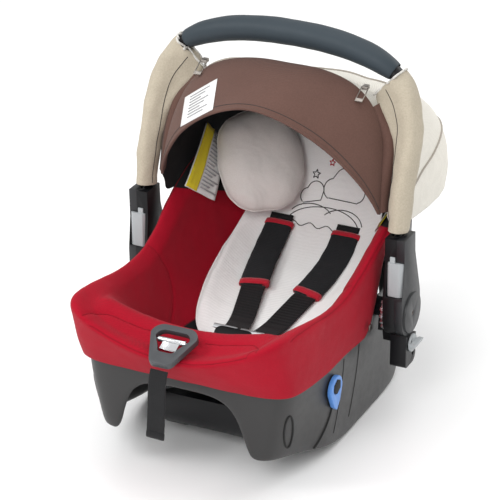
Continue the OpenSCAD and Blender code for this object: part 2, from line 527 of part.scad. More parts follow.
// Canopy surfaces are fans about a line through the sleeves' lower ends.
// Each fan edge is an arch: angle above the floor, half width, reach and squareness.
fan_y = 30;
fan_z = 300;
function fan_edge(a, w, r, q, lift, n = 28) = [for (k = [0:n]) let(u = box_round(mix(4, 176, k / n), q), v = abs(u[1]))
    [w * u[0], fan_y + r * v * cos(a), fan_z + lift + r * v * sin(a)]];
function shrink(ring, d) = [for (p = ring) let(c = [0, fan_y + 20, fan_z - 40]) p - unit(p - c) * d];
cloth_t = 2.5;
function cloth(edges) = let(n = len(edges[0]))
    [for (k = [0:n - 1]) concat([for (e = edges) e[k]], [for (i = [len(edges) - 1:-1:0]) shrink(edges[i], cloth_t)[k]])];
module visor() color([0.31, 0.22, 0.20]) skin(cloth([fan_edge(113, rim_half_w + 2, 182, 1.65, 0),
    fan_edge(98, rim_half_w + 1, 180, 2.1, 5), fan_edge(84, rim_half_w, 188, 2.7, 8), fan_edge(75, rim_half_w - 1, 196, 3.2, 8)]));
hood_w = rim_half_w + 9; // half width of the canopy
canopy_edges = [fan_edge(66, hood_w - 1, 192, 3.6, 0), fan_edge(50, hood_w, 208, 6, 0), fan_edge(33, hood_w, 243, 7, -4),
    fan_edge(16, hood_w, 296, 7, -8), fan_edge(3, hood_w, 311, 8, -12), fan_edge(-6, hood_w - 1, 300, 8, -22)];
module canopy() color([0.85, 0.82, 0.76]) skin(cloth(canopy_edges));

// ---------- zips, snaps ----------

zip_at = [rim_half_w - 46, 86, 481.5];           // sliders sit at the sleeves' upper inner corners
module zip_sliders() color([0.62, 0.60, 0.56]) both_sides() translate(zip_at) difference() {
    translate([-4, -16, -4]) cube([8, 10, 5]);
    translate([-5, -14, -1.5]) rotate([0, 90, 0]) cylinder(h = 10, r = 1.06, $fn = 24);
}
module zip_pull(s) color([0.62, 0.60, 0.56]) on_side(s) translate(zip_at) {
    translate([-4.6, -14, -1.5]) rotate([0, 90, 0]) cylinder(h = 9.2, r = 1, $fn = 24);
    // the tag lies forwards on the visor
    translate([0, -14, -1.5]) rotate([-pull_lean, 0, 0]) {
        for (x = [-5.6, 4.6]) translate([x, -1, -20.5]) cube([1, 2, 21.5]);
        translate([-5.6, -1, -26.5]) cube([11.2, 2, 6.1]);
    }
}
pull_lean = 62;                     // how far the tags lean forwards at rest
module zip_pull_left() zip_pull(-1);
module zip_pull_right() zip_pull(1);
module cover_snaps() color([0.35, 0.33, 0.31]) both_sides()
    x_cylinder(rim_half_w + 1.6, rim_half_w + 4, 5.5, -8, 156 + bowl_lift, 32);

// ---------- pushchair adaptors ----------

bracket_y = 37;       // middle of the adaptor bracket
bracket_z0 = 87;      // its lower end
bracket_z1 = 140;     // its upper end
bracket_x0 = arm_x - 4;             // inner face of the bracket
bracket_x1 = hub_x1 - 1;            // its outer face
slot_t = 9;                         // opening for the pushchair's blade
slot_x0 = bracket_x0 + 4;
lever_y = 37;                       // lever shaft, in Y
lever_z = pivot_z - hub_r - 11;      // and in Z, below the hub
module adaptor_bracket(s) color([0.20, 0.21, 0.22]) on_side(s) difference() {
    union() {
        side_plate(bracket_x0, bracket_x1) polygon(concat([[bracket_y - 19, bracket_z1], [bracket_y - 19, bracket_z0 + 6]],
        arc([bracket_y - 13, bracket_z0 + 6], 6, 180, 270, 5), arc([bracket_y + 7, bracket_z0 + 12], 12, 270, 360, 6),
        [[bracket_y + 19, bracket_z1]]));
        // neck that carries the bracket from the pivot housing
        side_plate(housing_x0, bracket_x0 + 1) polygon([[bracket_y - 2, bracket_z1], [bracket_y + 4, bracket_z0 + 28],
            [bracket_y + 18, bracket_z0 + 28], [bracket_y + 18, bracket_z1]]);
    }
    // room for the hub to turn, a slot for the pushchair's blade, and the lever's bore
    x_cylinder(hub_x0 - disc_t - 3, bracket_x1 + 1, hub_r + 1.2, pivot_y, pivot_z, 64);
    translate([hub_x0 - disc_t - 3, pivot_y, pivot_z - hub_r - 2.4]) cube([60, hub_r, hub_r]);
    translate([slot_x0, bracket_y - 14, bracket_z0 - 1]) cube([slot_t, 28, 26]);
    x_cylinder(bracket_x1 - 14, bracket_x1 + 1, 5.05, lever_y, lever_z);
    x_cylinder(bracket_x1 - 30, bracket_x1 + 1, 3, bracket_y + 8, bracket_z0 + 14, 32);
}
module adaptor_bracket_left() adaptor_bracket(-1);
module adaptor_bracket_right() adaptor_bracket(1);
module adaptor_lever(s) color([0.62, 0.64, 0.65]) on_side(s) {
    x_cylinder(bracket_x1 - 13, bracket_x1 + 4, 5, lever_y, lever_z);
    x_cylinder(bracket_x1 + 0.5, bracket_x1 + 4, 13, lever_y, lever_z);
    side_plate(bracket_x1 + 4, bracket_x1 + 11) polygon([[lever_y - 12, lever_z + 3], [lever_y - 12, lever_z - 3],
        [lever_y + 16, lever_z - 2], [lever_y + 22, lever_z], [lever_y + 16, lever_z + 2]]);
}
module adaptor_lever_left() adaptor_lever(-1);
module adaptor_lever_right() adaptor_lever(1);

// ---------- one node at a time ----------

shell();
rocker_base();
belly_pan();
latch_bars();
foam_liner();
seat_cover();
body_pad();
head_pillow();
shoulder_strap_left();
shoulder_strap_right();
shoulder_pad_left();
shoulder_pad_right();
crotch_strap();
buckle_body();
buckle_tongues();
buckle_button();
adjuster_bezel();
adjuster_lever();
adjuster_pin();
adjuster_strap();
belt_guide_left();
belt_guide_right();
pivot_housing_left();
pivot_housing_right();
lock_disc_left();
lock_disc_right();
pivot_axle_left();
pivot_axle_right();
adaptor_bracket_left();
adaptor_bracket_right();
adaptor_lever_left();
adaptor_lever_right();
cover_snaps();
handle_arm_left();
handle_arm_right();
hub_cover_left();
hub_cover_right();
hub_screws();
handle_crossbar();
handle_grip();
release_button_left();
release_button_right();
button_spring_left();
button_spring_right();
arm_sleeve_left();
arm_sleeve_right();
visor();
canopy();
zip_sliders();
zip_pull_left();
zip_pull_right();
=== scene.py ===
import json
import math
import bpy
import bmesh
import numpy as np
from mathutils import Matrix, Vector, noise
from mathutils.bvhtree import BVHTree
from mathutils.kdtree import KDTree

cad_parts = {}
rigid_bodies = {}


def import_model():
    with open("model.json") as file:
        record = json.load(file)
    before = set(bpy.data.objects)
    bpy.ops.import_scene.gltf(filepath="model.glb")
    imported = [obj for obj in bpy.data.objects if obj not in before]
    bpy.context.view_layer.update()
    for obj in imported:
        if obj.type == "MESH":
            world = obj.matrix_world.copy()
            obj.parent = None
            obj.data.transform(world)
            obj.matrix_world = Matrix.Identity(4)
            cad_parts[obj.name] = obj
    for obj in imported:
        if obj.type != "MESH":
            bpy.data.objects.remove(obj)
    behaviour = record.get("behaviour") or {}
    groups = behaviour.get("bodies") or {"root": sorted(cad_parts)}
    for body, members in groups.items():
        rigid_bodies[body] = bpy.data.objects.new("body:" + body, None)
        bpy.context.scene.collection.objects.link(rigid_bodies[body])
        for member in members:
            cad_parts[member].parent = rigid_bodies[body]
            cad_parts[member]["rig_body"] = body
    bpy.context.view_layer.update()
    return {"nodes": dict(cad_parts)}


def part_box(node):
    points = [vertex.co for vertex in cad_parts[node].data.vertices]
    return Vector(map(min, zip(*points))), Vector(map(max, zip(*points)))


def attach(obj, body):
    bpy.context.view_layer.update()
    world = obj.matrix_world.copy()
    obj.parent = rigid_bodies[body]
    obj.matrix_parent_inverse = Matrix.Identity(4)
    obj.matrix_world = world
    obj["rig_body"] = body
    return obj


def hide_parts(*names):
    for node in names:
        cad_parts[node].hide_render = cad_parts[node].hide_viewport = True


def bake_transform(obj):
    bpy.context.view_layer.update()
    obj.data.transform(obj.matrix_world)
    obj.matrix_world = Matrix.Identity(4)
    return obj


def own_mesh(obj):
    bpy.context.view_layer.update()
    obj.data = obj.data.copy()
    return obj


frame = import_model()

scene = bpy.context.scene
nodes = frame["nodes"]
SIDES = {"left": -1, "right": 1}

# ---------------------------------------------------------------- camera, floor and light
target = Vector((0, 0, 0.298))
azimuth, elevation = math.radians(25), math.radians(24)
back = Vector((math.sin(azimuth) * math.cos(elevation), -math.cos(azimuth) * math.cos(elevation),
        math.sin(elevation)))
right = Vector((math.cos(azimuth), math.sin(azimuth), 0))
up = back.cross(right)
data = bpy.data.cameras.new("camera")
data.sensor_width, data.lens, data.clip_end = 36, 172.8, 100
camera = bpy.data.objects.new("camera", data)
scene.collection.objects.link(camera)
distance, aim = 3.3818, 2400
look = -back * aim - right * 11.3 - up * 38.4
camera.location = target + back * distance
camera.rotation_euler = look.to_track_quat("-Z", "Y").to_euler()
scene.camera = camera
scene.view_settings.view_transform = "Standard"
scene.view_settings.look = "None"

world = bpy.data.worlds.new("studio")
scene.world = world
world.use_nodes = True
world.node_tree.nodes["Background"].inputs["Color"].default_value = (1, 1, 1, 1)
world.node_tree.nodes["Background"].inputs["Strength"].default_value = 0.80


def area(name, where, size, power, aim_at=(0, 0, 0.25)):
    light = bpy.data.lights.new(name, "AREA")
    light.size, light.energy = size, power
    o = bpy.data.objects.new(name, light)
    o.location = where
    o.rotation_euler = (Vector(aim_at) - Vector(where)).to_track_quat("-Z", "Y").to_euler()
    scene.collection.objects.link(o)


area("key", (-1.9, -1.6, 2.6), 1.3, 38)
area("fill", (2.6, -1.6, 1.2), 2.0, 5)
area("front", (0.3, -2.6, 2.0), 1.2, 34, (0, 0.1, 0.2))
area("top", (0.2, 0.5, 3.0), 2.2, 22)
area("rim", (1.2, 2.6, 1.6), 1.4, 14)


# ---------------------------------------------------------------- materials
def node(tree, kind, **inputs):
    n = tree.nodes.new("ShaderNode" + kind)
    for key, value in inputs.items():
        if hasattr(n, key):
            setattr(n, key, value)
    return n


def feed(n, **inputs):
    for key, value in inputs.items():
        socket = n.inputs[key.replace("_", " ")]
        if isinstance(value, bpy.types.NodeSocket):
            n.id_data.links.new(value, socket)
        else:
            socket.default_value = value
    return n


def shader(name, rough, metal=0.0, sheen=0.0, coat=0.0, specular=0.5):
    m = bpy.data.materials.new(name)
    m.use_nodes = True
    b = m.node_tree.nodes["Principled BSDF"]
    b.inputs["Roughness"].default_value = rough
    b.inputs["Metallic"].default_value = metal
    b.inputs["Sheen Weight"].default_value = sheen
    b.inputs["Sheen Roughness"].default_value = 0.5
    b.inputs["Coat Weight"].default_value = coat
    b.inputs["Specular IOR Level"].default_value = specular
    return m, m.node_tree, b


def rgb(c):
    return (c[0], c[1], c[2], 1)


def shade(c, k):
    return tuple(min(1, v * k) for v in c)


def varied(tree, coords, color, spread, scale, detail=3.0):
    n = feed(node(tree, "TexNoise"), Vector=coords, Scale=scale, Detail=detail, Roughness=0.6)
    ramp = node(tree, "ValToRGB")
    ramp.color_ramp.elements[0].position, ramp.color_ramp.elements[1].position = 0.3, 0.7
    ramp.color_ramp.elements[0].color = rgb(shade(color, 1 - spread))
    ramp.color_ramp.elements[1].color = rgb(shade(color, 1 + spread))
    feed(ramp, Fac=n.outputs["Fac"])
    return ramp.outputs["Color"]


def bump(tree, height, depth, normal=None):
    n = feed(node(tree, "Bump"), Height=height, Distance=depth, Strength=1.0)
    if normal is not None:
        feed(n, Normal=normal)
    return n.outputs["Normal"]


def mix_color(tree, mode, fac, a, b):
    n = node(tree, "Mix")
    n.data_type, n.blend_type = "RGBA", mode
    for socket, value in ((n.inputs[0], fac), (n.inputs[6], a), (n.inputs[7], b)):
        if isinstance(value, bpy.types.NodeSocket):
            tree.links.new(value, socket)
        else:
            socket.default_value = value
    return n.outputs[2]


def maths(tree, op, a, b=0.0, clamp=False):
    n = node(tree, "Math")
    n.operation, n.use_clamp = op, clamp
    for socket, value in zip(n.inputs, (a, b)):
        if isinstance(value, bpy.types.NodeSocket):
            tree.links.new(value, socket)
        else:
            socket.default_value = value
    return n.outputs[0]


def fabric(name, color, rough=0.85, sheen=0.08, pitch=0.0011, weave=0.00016, crease=0.0012,
        crease_scale=22, spread=0.07,
           heather=0.05, ribs=0.0, lining_and_painted_shade=None):
    """Woven cloth: crossing threads, soft creases, mottled dye. pitch is the thread spacing in metres."""
    m, tree, b = shader(name, rough, sheen=sheen, specular=0.14)
    coords = node(tree, "TexCoord").outputs["Object"]
    scale = 0.314 / pitch
    threads = []
    for direction in ("X", "Y", "Z"):
        w = node(tree, "TexWave")
        w.bands_direction = direction
        threads.append(feed(w, Vector=coords, Scale=scale, Distortion=0.6, Detail=1.0,
                Detail_Scale=3.0).outputs["Fac"])
    weaving = maths(tree, "MAXIMUM", maths(tree, "MULTIPLY", threads[0], threads[1]), threads[2])
    fold = feed(node(tree, "TexNoise"), Vector=coords, Scale=crease_scale, Detail=2.5, Roughness=0.5,
            Distortion=0.4).outputs["Fac"]
    normal = bump(tree, weaving, weave, bump(tree, fold, crease))
    if ribs:
        w = node(tree, "TexWave")
        w.bands_direction = "Y"
        rib = feed(w, Vector=coords, Scale=0.314 / ribs, Distortion=1.2, Detail=2.0,
                Detail_Scale=1.2).outputs["Fac"]
        normal = bump(tree, rib, 0.00008, normal)
    base = varied(tree, coords, color, spread, 9)
    fleck = varied(tree, coords, (0.5, 0.5, 0.5), heather * 2, 420, 1.0)
    base = mix_color(tree, "OVERLAY", 0.6, base, fleck)
    thread = maths(tree, "ADD", maths(tree, "MULTIPLY", weaving, 0.14), 0.88)
    base = mix_color(tree, "MULTIPLY", 1.0, base, thread)
    # an optional hook paints near-black regions of lining and painted shade over the cloth
    if lining_and_painted_shade is not None:
        base = lining_and_painted_shade(tree, coords, base)
    feed(b, Base_Color=base, Normal=normal)
    worn = feed(node(tree, "TexNoise"), Vector=coords, Scale=40, Detail=2.0).outputs["Fac"]
    feed(b, Roughness=maths(tree, "ADD", maths(tree, "MULTIPLY", worn, 0.16), rough - 0.08))
    return m


def plastic(name, color, rough=0.5, grain=0.00006, grain_scale=1400, spread=0.05, coat=0.0, wear=0.25,
        specular=0.45):
    """Moulded plastic: spark-eroded grain, faint flow marks, slightly paler worn edges."""
    m, tree, b = shader(name, rough, coat=coat, specular=specular)
    coords = node(tree, "TexCoord").outputs["Object"]
    base = varied(tree, coords, color, spread, 14)
    sharp = node(tree, "NewGeometry").outputs["Pointiness"]
    edge = maths(tree, "MULTIPLY", maths(tree, "SUBTRACT", sharp, 0.52), 6.0, True)
    scuff = feed(node(tree, "TexNoise"), Vector=coords, Scale=90, Detail=4.0).outputs["Fac"]
    edge = maths(tree, "MULTIPLY", maths(tree, "MULTIPLY", edge, scuff), wear)
    base = mix_color(tree, "MIX", edge, base, rgb(shade(color, 2.2)))
    g = feed(node(tree, "TexNoise"), Vector=coords, Scale=grain_scale, Detail=1.0).outputs["Fac"]
    flow = feed(node(tree, "TexNoise"), Vector=coords, Scale=30, Detail=2.0).outputs["Fac"]
    feed(b, Base_Color=base, Normal=bump(tree, g, grain, bump(tree, flow, 0.0002)))
    feed(b, Roughness=maths(tree, "ADD", maths(tree, "MULTIPLY", scuff, 0.16), rough - 0.08))
    return m


def metal(name, color, rough=0.3):
    m, tree, b = shader(name, rough, metal=1.0)
    coords = node(tree, "TexCoord").outputs["Object"]
    stretch = feed(node(tree, "Mapping"), Vector=coords, Scale=(40, 900, 900)).outputs["Vector"]
    brushed = feed(node(tree, "TexNoise"), Vector=stretch, Scale=1.0, Detail=3.0).outputs["Fac"]
    feed(b, Base_Color=varied(tree, coords, color, 0.08, 60), Normal=bump(tree, brushed, 0.00003))
    feed(b, Roughness=maths(tree, "ADD", maths(tree, "MULTIPLY", brushed, 0.2), rough - 0.1))
    return m


def cover_painted_shade(tree, coords, base):
    """Painted shade: the head end of the bowl above a sloping edge, in shade under the canopy, is painted
    near-black, and so is the seat's lowest part, in the shade of its deep crease.
    """
    xyz = feed(node(tree, "SeparateXYZ"), Vector=coords).outputs
    slope = maths(tree, "ADD", xyz["Z"], maths(tree, "MULTIPLY", xyz["Y"], 0.385))
    high = maths(tree, "MULTIPLY", maths(tree, "SUBTRACT", slope, 0.3035), 700.0, True)
    behind = maths(tree, "MULTIPLY", maths(tree, "SUBTRACT", xyz["Y"], 0.012), 400.0, True)
    low = maths(tree, "MULTIPLY", maths(tree, "SUBTRACT", 0.122, xyz["Z"]), 400.0, True)
    within = maths(tree, "MULTIPLY", maths(tree, "SUBTRACT", 0.126, maths(tree, "ABSOLUTE", xyz["X"])),
            400.0, True)
    # mask of the painted shade: behind and above the slope at the head end, and the low middle of the seat
    dark = maths(tree, "MAXIMUM", maths(tree, "MULTIPLY", high, behind), maths(tree, "MULTIPLY", low, within))
    return mix_color(tree, "MIX", dark, base, (0.012, 0.012, 0.013, 1))


RED = (0.34, 0.0022, 0.015)
mats = {
    # the cover gets near-black painted shade at its head end and at its lowest part
    "cover": fabric("cover_fabric", RED, 0.8, 0.04, 0.0012, 0.00012, 0.0016, 16, 0.06, lining_and_painted_shade=cover_painted_shade),
    # darker red than the cover: the seam stitching, with the shade of its groove painted in
    "seam": fabric("seam_thread_and_groove_shade", (0.24, 0.003, 0.012), 0.8, 0.02, 0.0012),
    "cotton": fabric("cotton", (0.97, 0.97, 0.96), 0.9, 0.1, 0.0009, 0.00010, 0.0022, 26, 0.03, 0.04,
            ribs=0.0045),
    "pillow": fabric("pillow_fabric", (0.80, 0.765, 0.735), 0.9, 0.1, 0.0010, 0.00012, 0.0035, 24, 0.05),
    "beige": fabric("beige_fabric", (0.47, 0.415, 0.325), 0.82, 0.05, 0.0011, 0.00014, 0.0020, 18, 0.06),
    "pale": fabric("pale_binding", (0.66, 0.64, 0.60), 0.8, 0.05, 0.0010),
    "cream": fabric("cream_fabric", (0.78, 0.75, 0.68), 0.82, 0.05, 0.0011, 0.00012, 0.0018, 10, 0.04),
    "brown": fabric("brown_fabric", (0.118, 0.062, 0.049), 0.72, 0.08, 0.0010, 0.00012, 0.0012, 10, 0.07),
    "piping": fabric("piping", (0.42, 0.38, 0.33), 0.7, 0.05, 0.0009),
    # near-black: the canopy's dark lining, with the shade inside the dome painted in
    "lining_and_painted_shade": fabric("black_lining_and_painted_shade", (0.012, 0.012, 0.013), 0.9, 0.05, 0.0012),
    "pad": fabric("pad_fabric", (0.020, 0.021, 0.023), 0.85, 0.05, 0.0012, 0.0002, 0.0012, 30, 0.1),
    "binding": fabric("red_binding", (0.50, 0.012, 0.03), 0.75, 0.2, 0.0009, 0.0002),
    "webbing": fabric("webbing", (0.012, 0.012, 0.013), 0.62, 0.1, 0.0016, 0.0003, 0.0004, 20, 0.1),
    "thread": fabric("dark_thread", (0.045, 0.040, 0.038), 0.7, 0.05, 0.0008),
    "grip": plastic("grip_foam", (0.030, 0.042, 0.052), 0.55, 0.00012, 900, 0.06, wear=0.1, specular=0.3),
    "base": plastic("base_plastic", (0.020, 0.0195, 0.0195), 0.40, 0.0001, 1200, 0.06),
    "shell": plastic("shell_plastic", (0.16, 0.17, 0.18), 0.5, 0.0001, 1200),
    "hub": plastic("hub_plastic", (0.014, 0.015, 0.017), 0.42, 0.00008, 1200),
    "black": plastic("arm_plastic", (0.005, 0.005, 0.006), 0.42, 0.00005, 1200, specular=0.25),
    # near-black painted shade for the recesses, slits, grooves and guide holes of the base
    "dark": plastic("painted_recess_shade", (0.006, 0.006, 0.006), 0.7),
    "bezel": plastic("bezel_plastic", (0.048, 0.051, 0.056), 0.38, 0.00005, 1200),
    "light": plastic("light_plastic", (0.34, 0.36, 0.37), 0.42, 0.00005, 1200, wear=0.1),
    "blue": plastic("blue_plastic", (0.10, 0.27, 0.68), 0.35, 0.00004, 1200, wear=0.15),
    "red_plastic": plastic("red_plastic", (0.55, 0.02, 0.03), 0.3, coat=0.3),
    "foam": plastic("bead_foam", (0.85, 0.85, 0.83), 0.9, 0.0004, 260, 0.04, wear=0.0),
    "steel": metal("steel", (0.62, 0.63, 0.65), 0.32),
    "snap": metal("snap_metal", (0.16, 0.14, 0.13), 0.45),
    "zip": metal("zip_metal", (0.36, 0.33, 0.30), 0.38),
    "chrome": metal("chrome_lever", (0.75, 0.76, 0.78), 0.16),
    "paper": fabric("label_cloth", (0.83, 0.83, 0.82), 0.7, 0.1, 0.0007, 0.00005, 0.0004, 40, 0.02),
    "yellow": fabric("label_yellow", (0.80, 0.66, 0.03), 0.7, 0.1, 0.0007, 0.00005, 0.0004, 40, 0.03),
    "print": fabric("label_grey", (0.36, 0.36, 0.37), 0.8, 0.0, 0.0007, 0.00004, 0.0003, 40, 0.03),
}


# ---------------------------------------------------------------- mesh helpers
def new_object(name, verts, faces, mat, smooth=True):
    me = bpy.data.meshes.new(name)
    me.from_pydata([tuple(v) for v in verts], [], faces)
    me.validate()
    o = bpy.data.objects.new(name, me)
    scene.collection.objects.link(o)
    me.materials.append(mats[mat])
    for p in me.polygons:
        p.use_smooth = smooth
    return o


def cad_copy(cad, name, mat):
    """The CAD node's own shape as a new object, welded, so that it can be refined."""
    src = nodes[cad].data
    o = new_object(name, [v.co for v in src.vertices], [tuple(p.vertices) for p in src.polygons], mat)
    bm = bmesh.new()
    bm.from_mesh(o.data)
    bmesh.ops.remove_doubles(bm, verts=bm.verts, dist=2e-5)
    bm.to_mesh(o.data)
    bm.free()
    return o


def applied(o):
    """Keeps what the modifiers make, and removes them."""
    bpy.context.view_layer.update()
    made = bpy.data.meshes.new_from_object(o.evaluated_get(bpy.context.evaluated_depsgraph_get()))
    o.modifiers.clear()
    old, o.data = o.data, made
    bpy.data.meshes.remove(old)
    for p in o.data.polygons:
        p.use_smooth = True
    return o


EDGE_ANGLE = 32  # degrees; a sharper edge than this is rounded


def rounded(cad, mat, width, body=None):
    """A moulded or machined CAD piece with its edges rounded."""
    o = cad_copy(cad, cad + "_part", mat)
    bm = bmesh.new()
    bm.from_mesh(o.data)
    bmesh.ops.dissolve_limit(bm, angle_limit=math.radians(0.4), verts=bm.verts, edges=bm.edges)
    bm.to_mesh(o.data)
    bm.free()
    m = o.modifiers.new("edges", "BEVEL")
    m.width, m.segments, m.limit_method, m.angle_limit = width, 2, "ANGLE", math.radians(EDGE_ANGLE)
    m.use_clamp_overlap = True
    applied(o)
    o.data.set_sharp_from_angle(angle=math.radians(40))
    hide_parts(cad)
    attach(o, body or nodes[cad]["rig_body"])
    return o


def quads(o):
    bm = bmesh.new()
    bm.from_mesh(o.data)
    bmesh.ops.join_triangles(bm, faces=bm.faces, angle_face_threshold=math.radians(60),
            angle_shape_threshold=math.radians(180))
    bm.to_mesh(o.data)
    bm.free()


def subdivided(o, levels):
    m = o.modifiers.new("smooth", "SUBSURF")
    m.levels = m.render_levels = levels
    return applied(o)


def smooth_copy(cad, name, mat, levels):
    o = cad_copy(cad, name, mat)
    quads(o)
    return subdivided(o, levels)


def coordinates(o):
    co = np.empty(len(o.data.vertices) * 3)
    o.data.vertices.foreach_get("co", co)
    return co.reshape(-1, 3)


def move_to(o, co):
    o.data.vertices.foreach_set("co", np.asarray(co).ravel())
    o.data.update()


def normals(o):
    n = np.empty(len(o.data.vertices) * 3)
    o.data.vertices.foreach_get("normal", n)
    return n.reshape(-1, 3)


def ripple(o, depth, scale, seed=0.0, inside=None):
    """Soft uneven swelling along the normals; away from a point, both faces of thin cloth move alike."""
    co = coordinates(o)
    nm = normals(o) if inside is None else co - np.array(inside)
    nm = nm / np.linalg.norm(nm, axis=1)[:, None]
    h = np.array([noise.noise(Vector(p) * scale + Vector((seed, seed, seed))) for p in co])
    move_to(o, co + nm * (h * depth)[:, None])


def groove(o, lines, width, depth):
    """Presses seam lines into a surface."""
    pts = [p for line in lines for p in line]
    tree = KDTree(len(pts))
    for i, p in enumerate(pts):
        tree.insert(p, i)
    tree.balance()
    co, nm = coordinates(o), normals(o)
    d = np.array([tree.find(p)[2] for p in co])
    move_to(o, co - nm * (depth * np.exp(-(d / width) ** 2))[:, None])


def surface(o):
    return BVHTree.FromPolygons([v.co for v in o.data.vertices], [tuple(p.vertices) for p in o.data.polygons])


def on_surface(tree, points, lift=0.0):
    out = []
    for p in points:
        hit, n = tree.find_nearest(Vector(p))[:2]
        out.append(hit + n * lift)
    return out


def dropped(tree, points, direction=(0, 0, -1), lift=0.0):
    """Where rays from the points meet the surface; a ray that misses leaves no point."""
    out = []
    for p in points:
        hit, n = tree.ray_cast(Vector(p), Vector(direction))[:2]
        if hit is not None:
            if n.dot(Vector(direction)) > 0:
                n = -n
            out.append(hit + n * lift)
    return out


def resample(points, step):
    """Points at equal steps along a line."""
    pts = [Vector(p) for p in points]
    out, left = [pts[0]], step
    for a, b in zip(pts, pts[1:]):
        d, at = (b - a).length, 0.0
        while at + left <= d:
            at += left
            out.append(a.lerp(b, at / d))
            left = step
        left -= d - at
    return out


def smooth_line(points, n, closed=False):
    """A Catmull-Rom curve through the points."""
    pts = [Vector(p) for p in points]
    m, out = len(pts), []
    spans = m if closed else m - 1
    for i in range(spans):
        p = [pts[(i + k) % m] if closed else pts[min(max(i + k, 0), m - 1)] for k in (-1, 0, 1, 2)]
        for j in range(n):
            t = j / n
            out.append(0.5 * (2 * p[1] + (p[2] - p[0]) * t + (2 * p[0] - 5 * p[1] + 4 * p[2] - p[3]) * t * t
                              + (3 * p[1] - p[0] - 3 * p[2] + p[3]) * t ** 3))
    if not closed:
        out.append(pts[-1])
    return out


def loft(name, rings, mat, closed=False):
    n, m = len(rings[0]), len(rings)
    verts = [p for r in rings for p in r]
    faces = [(i * n + j, i * n + (j + 1) % n, ((i + 1) % m) * n + (j + 1) % n, ((i + 1) % m) * n + j)
             for i in range(m if closed else m - 1) for j in range(n)]
    if not closed:
        faces += [tuple(range(n - 1, -1, -1)), tuple(range((m - 1) * n, m * n))]
    o = new_object(name, verts, faces, mat)
    bm = bmesh.new()
    bm.from_mesh(o.data)
    bmesh.ops.recalc_face_normals(bm, faces=bm.faces)
    bm.to_mesh(o.data)
    bm.free()
    return o


def tube(name, points, radius, mat, sides=8, closed=False, flat=1.0):
    """A round or flattened thread along points."""
    pts = [Vector(p) for p in points]
    n, rings, ref = len(pts), [], Vector((0, 0, 1))
    for i, p in enumerate(pts):
        a = pts[(i - 1) % n] if closed else pts[max(i - 1, 0)]
        b = pts[(i + 1) % n] if closed else pts[min(i + 1, n - 1)]
        t = (b - a).normalized() if (b - a).length > 1e-9 else Vector((1, 0, 0))
        v = ref - t * ref.dot(t)
        if v.length < 1e-4:
            v = t.orthogonal()
        v.normalize()
        ref = v
        u = t.cross(v)
        rings.append([p + u * radius * math.cos(k) + v * radius * flat * math.sin(k)
                      for k in (2 * math.pi * j / sides for j in range(sides))])
    return loft(name, rings, mat, closed)


def strap(name, points, facing, width, thick, mat, power=5, sides=24, crown=0.0, ends=0.0):
    """Flat webbing or a flat pad along points, with a rounded section."""
    n, rings = len(points), []
    for i, p in enumerate(points):
        a, b = points[max(i - 1, 0)], points[min(i + 1, n - 1)]
        t = (b - a).normalized()
        v = (facing[i] - t * facing[i].dot(t)).normalized()
        u = t.cross(v)
        s = 1.0
        if ends:
            d = min((p - points[0]).length, (p - points[-1]).length)
            s = 0.35 + 0.65 * min(1, (d + 0.0004) / ends) ** 0.5
        ring = []
        for j in range(sides):
            k = 2 * math.pi * j / sides
            r = (abs(math.cos(k)) ** power + abs(math.sin(k)) ** power) ** (-1 / power)
            x, y = math.cos(k) * r, math.sin(k) * r
            ring.append(p + u * x * width / 2 + v * y * thick / 2 * s * (1 + crown * (1 - x * x)))
        rings.append(ring)
    return loft(name, rings, mat)


def puffed(o, voxel, pressure, cap, frames=20, levels=1, shrink=0.0):
    """Stuffed fabric: blown up a little by a cloth simulation, and held within cap of where it was.

    With a voxel size it is remeshed first.
    """
    if voxel:
        m = o.modifiers.new("remesh", "REMESH")
        m.mode, m.voxel_size = "VOXEL", voxel
        applied(o)
    start = coordinates(o)
    if shrink:
        start = start - normals(o) * shrink
        move_to(o, start)
    cloth = o.modifiers.new("cloth", "CLOTH")
    s = cloth.settings
    s.use_pressure, s.uniform_pressure_force = True, pressure
    s.effector_weights.gravity = 0
    s.quality, s.mass = 6, 0.3
    s.tension_stiffness = s.compression_stiffness = 12
    s.shear_stiffness, s.bending_stiffness = 6, 0.4
    cloth.collision_settings.use_collision = False
    cloth.point_cache.frame_start, cloth.point_cache.frame_end = 1, frames
    for f in range(1, frames + 1):
        scene.frame_set(f)
    applied(o)
    moved = coordinates(o) - start
    far = np.linalg.norm(moved, axis=1)
    move_to(o, start + moved * np.minimum(1, cap / np.maximum(far, 1e-9))[:, None])
    scene.frame_set(1)
    relax = o.modifiers.new("relax", "SMOOTH")
    relax.factor, relax.iterations = 0.5, 3
    applied(o)
    return subdivided(o, levels) if levels else o


def settled(o, tree, over, under):
    """Keeps a pad on top of what it lies on: its face at least over, its back at least under away."""
    co, nm = coordinates(o), normals(o)
    for i, p in enumerate(co):
        hit, n = tree.find_nearest(Vector(p))[:2]
        gap = (Vector(p) - hit).dot(n)
        want = under + (over - under) * min(1, max(0, float(np.dot(nm[i], n)) + 0.3))
        if gap < want:
            co[i] = p + np.array(n) * (want - gap)
    move_to(o, co)
    m = o.modifiers.new("even", "SMOOTH")
    m.factor, m.iterations = 0.5, 2
    applied(o)


